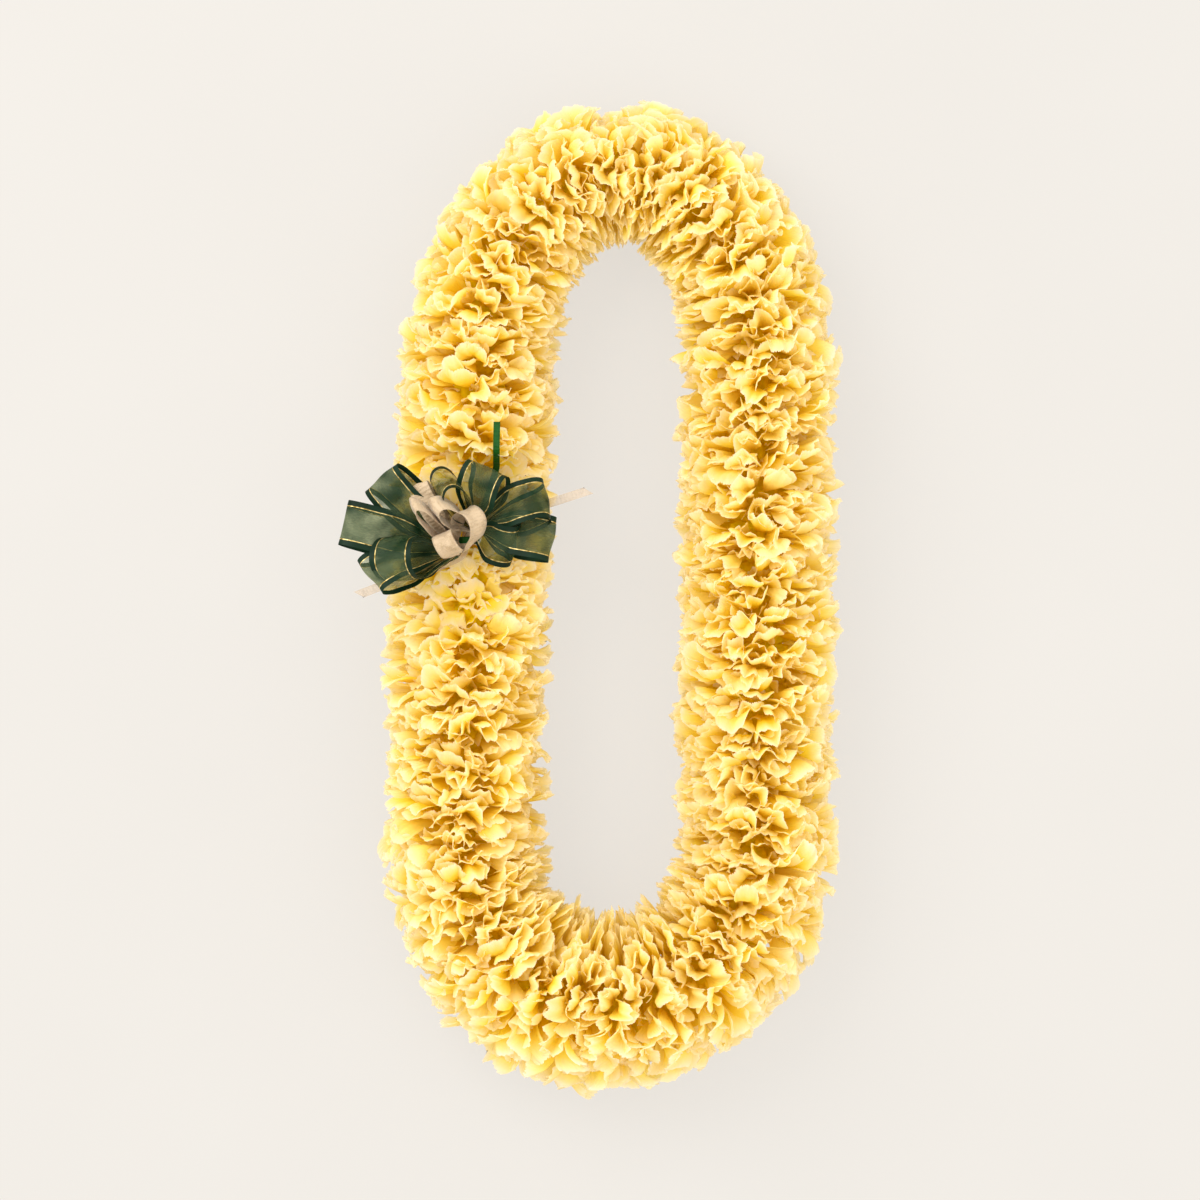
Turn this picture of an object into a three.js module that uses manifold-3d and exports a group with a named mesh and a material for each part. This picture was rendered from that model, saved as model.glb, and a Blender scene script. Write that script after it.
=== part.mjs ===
// A fresh carnation lei lying on a table, millimetres, +Z up.
// Forty-eight carnation blooms, their green cups taken off, are threaded through the middle on one loop of
// string. A bow of wide green ribbon and narrow cream ribbon is tied to the string on the left strand.
// The loop lies in the XY plane with its long way along Y. The table is at Z 0.
import * as THREE from "three";
import { mergeVertices } from "three/addons/utils/BufferGeometryUtils.js";
import Module from "manifold-3d";

const wasm = await Module();
wasm.setup();

// The string's loop
const STRAND_OFFSET = 74; // from the loop's middle line to each strand
const LOOP_HALF_LENGTH = 215;
const TOP_ARCH = 96; // how much of the half length is the curved end
const BOTTOM_ARCH = 86;
const LEAN = 4; // sideways shift of the top against the middle
const TAPER = 0.04; // the loop is narrower at its top by this share
const STRING_R = 0.75;
const STRING_SIDES = 4;
const KNOT_R = 1.15;
const KNOT_HALF_LENGTH = 2.5;
const LINE_STEPS = 4000; // steps of the measured line that stands for the loop

// The sleeve of petals
const SLEEVE_R = 40.5;
const SWELL = 0.13; // the sleeve is thicker at the bottom of the loop and thinner at its top by this share
const SWELL_POWER = 5;
const STRING_HEIGHT_SHARE = 0.87; // string height over sleeve radius: the flowers under it are pressed
const BLOOMS = 48;
const BLOOM_GAP = 0.7; // clear space between neighbouring blooms at the string
const PETALS = 8; // of each bloom, every second one leaning forwards and the others backwards
const SECTOR = (2 * Math.PI) / PETALS;
const HEART_R = 7; // where the petals' claws are bundled
const HEART_HALF_T = 1.6;
const BORE_R = 1.6;
const BORE_SIDES = 4;
const MID_SHARE = 0.5; // place of a petal's middle row between the string and its margin
const MID_HALF_WIDTH = THREE.MathUtils.degToRad(33);
const MARGIN_HALF_WIDTH = THREE.MathUtils.degToRad(43);
const PETAL_T = 1.1; // at the margin
const PETAL_MID_T = 1.7;
const PETAL_CLEARANCE = 0.25;
const MID_SPREAD = 0.1; // how far the petals have turned away from the bloom's middle, 0 to 1
const MARGIN_SPREAD = 0.72;
const RUFFLE = 0.27; // waves of the margin, on the same scale
const MARGIN_TEETH = [0.93, 0.98, 1.02, 1.03, 0.97, 0.93]; // margin radius at six points across a petal
const MARGIN_WAVE = [-0.8, 0.9, -1, 1, -0.9, 0.8]; // sideways place of the same six points
const RADIUS_JITTER = 0.045;
const ANGLE_JITTER = THREE.MathUtils.degToRad(1);
const SEED = 20;

// The bow, its places given from the middle of its waist
const TIE_GAP = 4.4; // between the two blooms where the bow is tied to the string
const BOW_ALONG_Y = 24; // the waist's Y in the loop's frame
const BOW_ASIDE = -3; // the waist's X against the string there
const BOW_HEIGHT = 61.4;
const SEAT_HEIGHT = 56; // the petals under the bow are pressed down to here
const SEAT_BLOOMS = 2; // pressed on each side of the tie
const RIBBON_T = 0.8;
const BOW_CLEARANCE = 0.25; // between the ribbons where they pass one another
const LOOP_ROOT_SPLIT = 1.1; // half the distance between a loop's two ends at the waist
const WAIST_OVERHANG = 1.6; // of the gathered middle beyond the places where the loops start

// Each loop of ribbon: the side of the waist that it starts from, the place of its tip, the direction
// across the ribbon there, and how far its two layers open from its middle line. A loop with a rise sags
// on its way out and turns up at its tip, like a barrel.
const GREEN = {
  width: 23.5,
  rootWidth: 3.6,
  stations: 10,
  waist: { reach: [4.2, 6.5], half: [1.6, 1.5], z: 0 },
  loops: [
    { side: -1, tip: [-43, 32, 11], across: [0.75, 0.5, 0.35], open: 5.2 },
    { side: -1, tip: [-62, 9, 10], across: [-0.26, -0.96, 0.14], open: 5 },
    { side: -1, tip: [-37.5, -10.5, 25.5], across: [0.91, 0.05, 0.4], open: 10.5, rise: 23.4 },
    { side: -1, tip: [-48.3, -18.8, 17.5], across: [0.57, -0.685, 0.455], open: 5.2, rise: 9 },
    { side: 1, tip: [-11.8, 31, 21.5], across: [0.36, -0.55, 0.75], open: 5.6 },
    { side: 1, tip: [11.5, 36.5, 15], across: [0.9, -0.34, 0.38], open: 6.2 },
    { side: 1, tip: [42, 21, 14], across: [0.28, -0.83, 0.48], open: 6.5 },
    { side: 1, tip: [45, 0, 10], across: [-0.1, -0.98, 0.15], open: 6 },
    { side: 1, tip: [25, -3.5, 9.5], across: [-0.08, -0.92, -0.36], open: 6 },
  ],
};
const CREAM = {
  width: 11,
  rootWidth: 2.4,
  stations: 8,
  waist: { reach: [3.4, 5.2], half: [1.4, 1.2], z: 3.5 },
  loops: [
    { side: -1, tip: [-24, 28, 16], across: [0.78, 0.5, 0.28], open: 2.8 },
    { side: -1, tip: [-25.5, 18, 33], across: [0.52, -0.79, 0.24], open: 2.6 },
    { side: 1, tip: [-14.5, 17.5, 33], across: [0.64, -0.69, 0.09], open: 3.8 },
    { side: -1, tip: [-10.5, -0.5, 28], across: [0.94, 0.38, -0.09], open: 4.9 },
    { side: -1, tip: [4.5, 13, 26], across: [-0.73, -0.41, 0.55], open: 6.6 },
  ],
};

// The cream strip under the bow: it runs through the tie, and both of its ends are cut slantwise
const TAIL_LINE = [
  [-55, -28],
  [-34, -20],
  [-12, -12.5],
  [-1.5, -6.5],
  [0, 0],
  [1.5, 6.5],
  [12, 11],
  [36, 17],
  [63, 25.5],
];
const TAIL_WIDTH = 4.6;
const TAIL_T = 0.6;
const TAIL_Z = -3.7;
const TAIL_STATIONS = 12;
const TAIL_SLANT = 0.9;

// The tie: a narrow green ribbon round the string and the bow's waists, and its free end
const TIE_WIDTH = 3.4;
const TIE_T = 0.6;
const TIE_INSIDE_HALF = 3.5;
const TIE_CORNER = 1.2;
const TIE_FOOT_HALF = 1.9;
const TIE_UNDER_STRING = 1.2;
const TIE_UNDER_WAIST = -2;
const TIE_OVER_WAIST = 5.1;
const TIE_END = [
  [5.2, 0, -4.6],
  [8, 12, -4.6],
  [12, 25, -4.4],
  [15.5, 36, -1.2],
  [16, 41, 9],
  [16.2, 46, 16.8],
  [16.5, 60, 17.2],
];
const TIE_END_STATIONS = 11;

// One number after another from 0 to 1, the same ones each time
function randomNumbers(seed) {
  let state = seed;
  return () => {
    state = (state + 0x6d2b79f5) | 0;
    let mixed = Math.imul(state ^ (state >>> 15), 1 | state);
    mixed = (mixed + Math.imul(mixed ^ (mixed >>> 7), 61 | mixed)) ^ mixed;
    return ((mixed ^ (mixed >>> 14)) >>> 0) / 4294967296;
  };
}

// The loop as points at even steps, clockwise seen from above, starting at the bow
function loopLine() {
  const topY = LOOP_HALF_LENGTH - TOP_ARCH;
  const bottomY = BOTTOM_ARCH - LOOP_HALF_LENGTH;
  const path = new THREE.Path();
  path.moveTo(-STRAND_OFFSET, BOW_ALONG_Y);
  path.lineTo(-STRAND_OFFSET, topY);
  path.absellipse(0, topY, STRAND_OFFSET, TOP_ARCH, Math.PI, 0, true);
  path.lineTo(STRAND_OFFSET, bottomY);
  path.absellipse(0, bottomY, STRAND_OFFSET, BOTTOM_ARCH, 0, -Math.PI, true);
  path.lineTo(-STRAND_OFFSET, BOW_ALONG_Y);
  const points = path.getSpacedPoints(LINE_STEPS).map((p) => {
    const v = p.y / LOOP_HALF_LENGTH;
    return new THREE.Vector2(LEAN * v + p.x * (1 - TAPER * v), p.y);
  });
  const along = [0];
  for (let i = 1; i < points.length; i++) {
    along.push(along[i - 1] + points[i].distanceTo(points[i - 1]));
  }
  return { points, along, length: along[along.length - 1] };
}

const line = loopLine();
const PITCH = (line.length - TIE_GAP) / BLOOMS;

function pointAlong(distance) {
  const wrapped = ((distance % line.length) + line.length) % line.length;
  let low = 0;
  let high = line.along.length - 1;
  while (high - low > 1) {
    const middle = (low + high) >> 1;
    if (line.along[middle] <= wrapped) low = middle;
    else high = middle;
  }
  const share = (wrapped - line.along[low]) / (line.along[high] - line.along[low]);
  return line.points[low].clone().lerp(line.points[high], share);
}

// Where the string is at a distance along it: its place, the outward normal, the bend and the sleeve's radius
function stringAt(distance) {
  const probe = 3;
  const before = pointAlong(distance - probe);
  const here = pointAlong(distance);
  const after = pointAlong(distance + probe);
  const ahead = after.clone().sub(here).normalize();
  const behind = here.clone().sub(before).normalize();
  const tangent = after.clone().sub(before).normalize();
  const turned = behind.cross(ahead); // negative, because the loop runs clockwise
  const v = here.y / LOOP_HALF_LENGTH;
  const radius = SLEEVE_R * (1 - SWELL * v ** SWELL_POWER);
  return {
    x: here.x,
    y: here.y,
    z: radius * STRING_HEIGHT_SHARE,
    outX: -tangent.y,
    outY: tangent.x,
    bend: -turned / probe,
    radius,
  };
}

// A point of the sleeve: distance along the string, distance from it, and angle, 0 outwards and 90 degrees up
function sleevePoint(distance, radius, angle, ceiling) {
  const at = stringAt(distance);
  const out = radius * Math.cos(angle);
  const height = at.z + radius * Math.sin(angle);
  return [at.x + out * at.outX, at.y + out * at.outY, Math.min(Math.max(height, 0), ceiling)];
}

function geometryOf(vertices, triangles) {
  const geometry = new THREE.BufferGeometry();
  geometry.setAttribute("position", new THREE.Float32BufferAttribute(vertices.flat(), 3));
  geometry.setIndex(triangles.flat());
  return geometry;
}

// Triangles between two rows of vertex numbers, with the longer row's points shared out evenly
function stitch(inner, outer, triangles, facingBack) {
  let i = 0;
  let j = 0;
  while (i < inner.length - 1 || j < outer.length - 1) {
    const innerNext = (i + 1) / (inner.length - 1);
    const outerNext = (j + 1) / (outer.length - 1);
    let triangle;
    if (outerNext <= innerNext) {
      triangle = [inner[i], outer[j], outer[j + 1]];
      j++;
    } else {
      triangle = [inner[i], outer[j], inner[i + 1]];
      i++;
    }
    if (facingBack) triangle.reverse();
    triangles.push(triangle);
  }
}

// One bloom: a spindle of bundled claws round the string's bore, and petals that fan out of its waist
function bloom(index, random) {
  const middle = TIE_GAP / 2 + (index + 0.5) * PITCH;
  const half = (PITCH - BLOOM_GAP) / 2;
  const pressed = index < SEAT_BLOOMS || index >= BLOOMS - SEAT_BLOOMS;
  const ceiling = pressed ? SEAT_HEIGHT : Infinity;
  const here = stringAt(middle);
  const turn = random() * SECTOR;
  const vertices = [];
  const triangles = [];
  const add = (s, radius, angle) => {
    vertices.push(sleevePoint(middle + s, radius, angle, ceiling));
    return vertices.length - 1;
  };
  const ring = (s, radius, sides) => {
    const row = [];
    for (let j = 0; j < sides; j++) row.push(add(s, radius, turn + (j * 2 * Math.PI) / sides));
    return [...row, row[0]];
  };
  const boreFront = ring(half, BORE_R, BORE_SIDES);
  const heartFront = ring(HEART_HALF_T, HEART_R, PETALS);
  const heartMiddle = ring(0, HEART_R, PETALS);
  const heartBack = ring(-HEART_HALF_T, HEART_R, PETALS);
  const boreBack = ring(-half, BORE_R, BORE_SIDES);
  stitch(boreFront, heartFront, triangles, false);
  stitch(boreBack, heartBack, triangles, true);
  stitch(boreBack, boreFront, triangles, false);

  for (let j = 0; j < PETALS; j++) {
    const lean = j % 2 ? -1 : 1;
    const angle = turn + (j + 0.5) * SECTOR + (random() - 0.5) * 2 * ANGLE_JITTER;
    const sideways = (radius, at, spread, thickness) => {
      // in a bend the space along the string is squeezed or stretched, and the petal keeps its thickness
      const stretch = 1 + here.bend * radius * Math.cos(at);
      const halfT = thickness / 2 / stretch;
      const nearest = halfT + PETAL_CLEARANCE / stretch;
      return [lean * (nearest + (half - halfT - nearest) * spread), halfT];
    };
    const reach = here.radius * (1 + (random() - 0.5) * 2 * RADIUS_JITTER);
    const midR = reach * MID_SHARE;
    const mid = [-1, 0, 1].map((side) => {
      const at = angle + side * MID_HALF_WIDTH;
      const [s, halfT] = sideways(midR, at, MID_SPREAD, PETAL_MID_T);
      if (side) return [add(s, midR, at)];
      return [add(s + halfT, midR, at), add(s - halfT, midR, at)];
    });
    const flip = random() < 0.5 ? -1 : 1;
    const last = MARGIN_TEETH.length - 1;
    const margin = MARGIN_TEETH.map((tooth, i) => {
      const at = angle + ((2 * i) / last - 1) * MARGIN_HALF_WIDTH;
      const radius = reach * tooth;
      const wave = flip * MARGIN_WAVE[i] * RUFFLE * (0.65 + 0.35 * random());
      const [s, halfT] = sideways(radius, at, MARGIN_SPREAD + wave, PETAL_T);
      if (i === 0 || i === last) return [add(s, radius, at)];
      return [add(s + halfT, radius, at), add(s - halfT, radius, at)];
    });
    const front = (pair) => pair[0];
    const back = (pair) => pair[pair.length - 1];
    const [upper, lower] = lean > 0 ? [heartFront, heartMiddle] : [heartMiddle, heartBack];
    const [bareUpper, bareLower] = lean > 0 ? [heartMiddle, heartBack] : [heartFront, heartMiddle];
    stitch([upper[j], upper[j + 1]], mid.map(front), triangles, false);
    stitch(mid.map(front), margin.map(front), triangles, false);
    stitch([lower[j], lower[j + 1]], mid.map(back), triangles, true);
    stitch(mid.map(back), margin.map(back), triangles, true);
    triangles.push([upper[j], lower[j], mid[0][0]]);
    triangles.push([upper[j + 1], mid[2][0], lower[j + 1]]);
    stitch([bareUpper[j], bareUpper[j + 1]], [bareLower[j], bareLower[j + 1]], triangles, false);
    for (let i = 0; i < last; i++) {
      const [a, b] = [margin[i], margin[i + 1]];
      if (back(a) !== front(a)) triangles.push([front(a), back(a), back(b)]);
      if (back(b) !== front(b)) triangles.push([front(a), back(b), front(b)]);
    }
  }
  return geometryOf(vertices, triangles);
}

// The string: a ring with a station at each gap between blooms, and a knot inside the first bloom
function string() {
  const stations = [];
  const knotAt = (TIE_GAP + PITCH) / 2;
  stations.push({ s: -TIE_GAP / 2, r: STRING_R });
  stations.push({ s: TIE_GAP / 2, r: STRING_R });
  stations.push({ s: knotAt - KNOT_HALF_LENGTH, r: STRING_R });
  stations.push({ s: knotAt, r: KNOT_R });
  stations.push({ s: knotAt + KNOT_HALF_LENGTH, r: STRING_R });
  for (let k = 1; k < BLOOMS; k++) stations.push({ s: TIE_GAP / 2 + k * PITCH, r: STRING_R });
  const vertices = [];
  const triangles = [];
  const rows = stations.map(({ s, r }) => {
    const row = [];
    for (let i = 0; i < STRING_SIDES; i++) {
      vertices.push(sleevePoint(s, r, (i * 2 * Math.PI) / STRING_SIDES, Infinity));
      row.push(vertices.length - 1);
    }
    return [...row, row[0]];
  });
  rows.forEach((row, i) => stitch(row, rows[(i + 1) % rows.length], triangles, true));
  return geometryOf(vertices, triangles);
}

const vector = (list) => new THREE.Vector3(...list);

function waistEnd(waist, side) {
  return vector([side * waist.reach[0], side * waist.reach[1], waist.z]);
}

// A flat band along a list of stations, each with its middle, its direction across, its normal and its width
function band(stations, thickness) {
  const vertices = [];
  const triangles = [];
  const rows = stations.map(({ middle, across, normal, width }) => {
    const row = [];
    for (const [u, v] of [[-1, 1], [1, 1], [1, -1], [-1, -1]]) {
      const corner = middle
        .clone()
        .addScaledVector(across, (u * width) / 2)
        .addScaledVector(normal, (v * thickness) / 2);
      vertices.push(corner.toArray());
      row.push(vertices.length - 1);
    }
    return row;
  });
  for (let i = 1; i < rows.length; i++) {
    stitch([...rows[i - 1], rows[i - 1][0]], [...rows[i], rows[i][0]], triangles, true);
  }
  const [first, last] = [rows[0], rows[rows.length - 1]];
  triangles.push([first[2], first[1], first[0]], [first[3], first[2], first[0]]);
  triangles.push([last[0], last[1], last[2]], [last[0], last[2], last[3]]);
  return geometryOf(vertices, triangles);
}

// A loop of ribbon: a teardrop from the waist out to the tip and back, narrow only near the waist
function ribbonLoop(loop, ribbon, grow) {
  const root = waistEnd(ribbon.waist, loop.side);
  const along = vector(loop.tip).sub(root);
  const across = vector(loop.across);
  across.addScaledVector(along, -across.dot(along) / along.lengthSq()).normalize();
  const opening = along.clone().cross(across).normalize();
  const rise = loop.rise ?? 0;
  const place = (t) => {
    const far = Math.sin(Math.PI * t);
    const open = loop.open * Math.sin(2 * Math.PI * t) + LOOP_ROOT_SPLIT * Math.cos(Math.PI * t);
    return root
      .clone()
      .addScaledVector(along, far)
      .addScaledVector(across, rise * (far * far - far))
      .addScaledVector(opening, open);
  };
  const stations = [];
  for (let i = 0; i < ribbon.stations; i++) {
    const t = i / (ribbon.stations - 1);
    const step = 0.01;
    const direction = place(t + step).sub(place(t - step)).normalize();
    const far = Math.sin(Math.PI * t);
    const outward = along.clone().addScaledVector(across, rise * (2 * far - 1));
    const crosswise = opening.clone().cross(outward).normalize();
    const spread = THREE.MathUtils.smoothstep(far, 0, 0.6);
    stations.push({
      middle: place(t),
      across: crosswise,
      normal: crosswise.clone().cross(direction).normalize(),
      width: ribbon.rootWidth + (ribbon.width - ribbon.rootWidth) * spread + 2 * grow,
    });
  }
  return band(stations, RIBBON_T + 2 * grow);
}

function solidOf(geometry) {
  const bare = geometry.clone();
  bare.deleteAttribute("normal");
  bare.deleteAttribute("uv");
  const merged = mergeVertices(bare, 1e-4);
  const mesh = new wasm.Mesh({
    numProp: 3,
    vertProperties: merged.attributes.position.array,
    triVerts: new Uint32Array(merged.index.array),
  });
  const solid = new wasm.Manifold(mesh);
  if (solid.volume() >= 0) return solid;
  const turned = mesh.triVerts.slice();
  for (let i = 0; i < turned.length; i += 3) [turned[i + 1], turned[i + 2]] = [turned[i + 2], turned[i + 1]];
  return new wasm.Manifold(
    new wasm.Mesh({ numProp: 3, vertProperties: mesh.vertProperties, triVerts: turned }),
  );
}

// The triangles of a mesh without those of its inner shells, the sealed pockets between crossing ribbons
function outerShell(vertices, triangles) {
  const shellOf = Array.from({ length: vertices.length / 3 }, (_, i) => i);
  const find = (i) => {
    while (shellOf[i] !== i) {
      shellOf[i] = shellOf[shellOf[i]];
      i = shellOf[i];
    }
    return i;
  };
  for (const [a, b, c] of triangles) {
    shellOf[find(a)] = find(b);
    shellOf[find(b)] = find(c);
  }
  const corner = (i) => new THREE.Vector3().fromArray(vertices, 3 * i);
  const volume = new Map();
  for (const [a, b, c] of triangles) {
    const shell = find(a);
    volume.set(shell, (volume.get(shell) ?? 0) + corner(a).dot(corner(b).cross(corner(c))));
  }
  return triangles.filter(([a]) => volume.get(find(a)) > 0);
}

// One closed body of all the pieces, less the room that the others need
function joined(pieces, others = []) {
  const whole = pieces.map(solidOf).reduce((all, piece) => all.add(piece));
  const solid = others.map(solidOf).reduce((rest, other) => rest.subtract(other), whole);
  const mesh = solid.getMesh();
  const triangles = [];
  for (let i = 0; i < mesh.triVerts.length; i += 3) triangles.push(Array.from(mesh.triVerts.slice(i, i + 3)));
  const geometry = new THREE.BufferGeometry();
  geometry.setAttribute("position", new THREE.Float32BufferAttribute(mesh.vertProperties, 3));
  geometry.setIndex(outerShell(mesh.vertProperties, triangles).flat());
  return geometry;
}

// The gathered middle of a ribbon bow, a short bar from one cluster of loops to the other
function waistBar(waist, grow) {
  const length = 2 * (Math.hypot(...waist.reach) + WAIST_OVERHANG);
  const bar = new THREE.CylinderGeometry(1, 1, length, 8);
  bar.scale(waist.half[0] + grow, 1, waist.half[1] + grow);
  bar.rotateZ(Math.atan2(waist.reach[1], waist.reach[0]) - Math.PI / 2);
  bar.translate(0, 0, waist.z);
  return bar;
}

// A whole ribbon as bands, its waist bar first, all larger by `grow` on every side
function ribbonPieces(ribbon, grow) {
  return [waistBar(ribbon.waist, grow), ...ribbon.loops.map((loop) => ribbonLoop(loop, ribbon, grow))];
}

function tailStrip() {
  const curve = new THREE.CatmullRomCurve3(TAIL_LINE.map(([x, y]) => new THREE.Vector3(x, y, TAIL_Z)));
  const stations = [];
  for (let i = 0; i < TAIL_STATIONS; i++) {
    const u = i / (TAIL_STATIONS - 1);
    const direction = curve.getTangentAt(u);
    const across = new THREE.Vector3(direction.y, -direction.x, 0);
    if (i === 0 || i === TAIL_STATIONS - 1) across.addScaledVector(direction, TAIL_SLANT);
    stations.push({ middle: curve.getPointAt(u), across, normal: new THREE.Vector3(0, 0, 1), width: TAIL_WIDTH });
  }
  return band(stations, TAIL_T);
}

// The tie's ring stands across the strand, in the gap between two blooms, and `grow` makes it larger all round
function tieRing(string, grow) {
  const bottom = string.z - BOW_HEIGHT - TIE_UNDER_STRING;
  const trace = (path, out) => {
    const half = TIE_INSIDE_HALF + out;
    const foot = TIE_FOOT_HALF + out;
    path.moveTo(TIE_CORNER - half, TIE_OVER_WAIST + out);
    path.lineTo(-half, TIE_OVER_WAIST - TIE_CORNER + out);
    path.lineTo(-half, TIE_UNDER_WAIST);
    path.lineTo(string.x - foot, bottom - out);
    path.lineTo(string.x + foot, bottom - out);
    path.lineTo(half, TIE_UNDER_WAIST);
    path.lineTo(half, TIE_OVER_WAIST - TIE_CORNER + out);
    path.lineTo(half - TIE_CORNER, TIE_OVER_WAIST + out);
    path.closePath();
    return path;
  };
  const ring = trace(new THREE.Shape(), TIE_T + grow);
  ring.holes.push(trace(new THREE.Path(), -grow));
  const width = TIE_WIDTH + 2 * grow;
  const geometry = new THREE.ExtrudeGeometry(ring, { depth: width, bevelEnabled: false });
  geometry.translate(0, 0, -width / 2);
  geometry.rotateX(Math.PI / 2);
  return geometry;
}

function tieEnd() {
  const curve = new THREE.CatmullRomCurve3(TIE_END.map(vector));
  const stations = [];
  for (let i = 0; i < TIE_END_STATIONS; i++) {
    const u = i / (TIE_END_STATIONS - 1);
    const direction = curve.getTangentAt(u);
    const across = new THREE.Vector3(direction.y, -direction.x, 0).normalize();
    const normal = across.clone().cross(direction).normalize();
    stations.push({ middle: curve.getPointAt(u), across, normal, width: TIE_WIDTH });
  }
  return band(stations, TIE_T);
}

const petalYellow = new THREE.MeshStandardMaterial({ color: 0xf4d98a, roughness: 0.75, metalness: 0 });
const stringWhite = new THREE.MeshStandardMaterial({ color: 0xe8e2d2, roughness: 0.9, metalness: 0 });
const sheerGreen = new THREE.MeshStandardMaterial({ color: 0x24402f, roughness: 0.45, metalness: 0 });
const satinCream = new THREE.MeshStandardMaterial({ color: 0xc9b48e, roughness: 0.4, metalness: 0.1 });
const tieGreen = new THREE.MeshStandardMaterial({ color: 0x0d4a14, roughness: 0.4, metalness: 0 });

function named(name, geometry, material) {
  const mesh = new THREE.Mesh(geometry, material);
  mesh.name = name;
  return mesh;
}

const lei = new THREE.Group();
const random = randomNumbers(SEED);
for (let k = 0; k < BLOOMS; k++) {
  lei.add(named(`bloom_${String(k + 1).padStart(2, "0")}`, bloom(k, random), petalYellow));
}
lei.add(named("string", string(), stringWhite));

const bow = new THREE.Group();
const bowString = stringAt(0);
const stringInBow = { x: -BOW_ASIDE, z: bowString.z };
const tieRoom = tieRing(stringInBow, BOW_CLEARANCE);
const greenRoom = ribbonPieces(GREEN, BOW_CLEARANCE);
bow.position.set(bowString.x + BOW_ASIDE, bowString.y, BOW_HEIGHT);
bow.add(
  named("bow_green_ribbon", joined(ribbonPieces(GREEN, 0), [tieRoom]), sheerGreen),
  named("bow_cream_ribbon", joined(ribbonPieces(CREAM, 0), [...greenRoom, tieRoom]), satinCream),
  named("bow_cream_tails", tailStrip(), satinCream),
  named("bow_tie", joined([tieRing(stringInBow, 0), tieEnd()]), tieGreen),
);
lei.add(bow);

// The origin is the middle of the lei's underside
const box = new THREE.Box3().setFromObject(lei);
lei.position.set(-(box.min.x + box.max.x) / 2, -(box.min.y + box.max.y) / 2, 0);

export default lei;
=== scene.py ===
"""The looks of a fresh carnation lei with a ribbon bow, laid down on a pale table and seen from above.

Lengths are millimetres in the loop's own frame, as in the solids, and each mesh is written in metres in the
part's frame. Every bloom is over a hundred thin petals round the string; the bow is woven and satin ribbon.
"""

import bpy
import numpy as np
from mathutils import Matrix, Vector


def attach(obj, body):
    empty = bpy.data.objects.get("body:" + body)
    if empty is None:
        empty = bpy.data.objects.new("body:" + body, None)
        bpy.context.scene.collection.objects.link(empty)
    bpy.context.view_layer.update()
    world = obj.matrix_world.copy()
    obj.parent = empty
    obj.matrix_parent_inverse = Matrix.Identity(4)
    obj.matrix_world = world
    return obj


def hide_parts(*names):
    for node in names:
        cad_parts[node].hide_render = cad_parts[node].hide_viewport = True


# The string's loop and the sleeve of petals, as in the solids
STRAND_OFFSET = 74.0
LOOP_HALF_LENGTH = 215.0
TOP_ARCH = 96.0
BOTTOM_ARCH = 86.0
LEAN = 4.0
TAPER = 0.04
SLEEVE_R = 40.5
SWELL = 0.13
SWELL_POWER = 5
STRING_HEIGHT_SHARE = 0.87
BLOOMS = 48
TIE_GAP = 4.4
BOW_ALONG_Y = 24.0
SEAT_HEIGHT = 56.0
SEAT_BLOOMS = 2
PART_ORIGIN = (12.048, 5.096)  # of the loop's middle in the part's frame

# Petals
PETALS = 108
TURN_STEP = 0.7548776662  # with these two steps the petals fill a turn and the bloom's length evenly together
LEAN_STEP = 0.5698402910
CLAW_SPREAD = 4.5  # the claws start this far to either side of the bloom's middle
OVERLAP = 0.4  # the margins reach this far into the next bloom
SHORT_SHARE = 0.16  # of the petals, much shorter than the rest
INNER_SHARE = 0.45  # of the petals, shorter than the rest
TEETH = 16  # of a petal's margin
CURL_START = 0.6  # the place along a petal from which it curls aside
MAP_NAME = "OFBake"
MAP_COLUMNS = 11  # petals in a row of the bloom's texture map
MAP_ROWS = -(-PETALS // MAP_COLUMNS)
HEART_CELL = (10.5, 9.5)  # the spare cell of that map, left to the heart
ROW_POINTS = (3, 5, 9, 17, 17, 17, 33)  # points across a petal, from its claw to its margin
ROW_PLACE = (0.1, 0.36, 0.58, 0.74, 0.86, 0.94, 1.0)
ROW_HALF_WIDTH = (1.0, 2.0, 4.6, 7.2, 8.5, 8.9, 8.6)
SPINE_STEPS = 41
PRESS_DEPTH = 5.0  # petals start to flatten this far from the table or the bow
LOBES = 0.05  # how much further out the petals reach in some directions than in others
HEART_R = 16.5  # the bundled claws and innermost petals round the string
HEART_TONE = 0.45  # its colour is that of a petal at this place along it
HEART_SIDES = 40
HEART_ROWS = 9

# The bow, its places given from the middle of its waist
BOW_ORIGIN = (-76.223, 24.0, 61.4)
RIBBON_T = 0.22
LOOP_ROOT_SPLIT = 1.1
SATIN_FROM = 8.9  # from the green ribbon's middle line to its satin edges
GOLD_AT = 8.7  # from there to its gold threads
GOLD_HALF = 0.22
GREEN = {
    "width": 23.5,
    "root_width": 3.6,
    "reach": (4.2, 6.5, 0.0),
    "loops": (
        (-1, (-43, 32, 11), (0.75, 0.5, 0.35), 5.2, 0),
        (-1, (-62, 9, 10), (-0.26, -0.96, 0.14), 5, 0),
        (-1, (-37.5, -10.5, 25.5), (0.91, 0.05, 0.4), 10.5, 23.4),
        (-1, (-48.3, -18.8, 17.5), (0.57, -0.685, 0.455), 5.2, 9),
        (1, (-11.8, 31, 21.5), (0.36, -0.55, 0.75), 5.6, 0),
        (1, (11.5, 36.5, 15), (0.9, -0.34, 0.38), 6.2, 0),
        (1, (42, 21, 14), (0.28, -0.83, 0.48), 6.5, 0),
        (1, (45, 0, 10), (-0.1, -0.98, 0.15), 6, 0),
        (1, (25, -3.5, 9.5), (-0.08, -0.92, -0.36), 6, 0),
    ),
}
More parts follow.
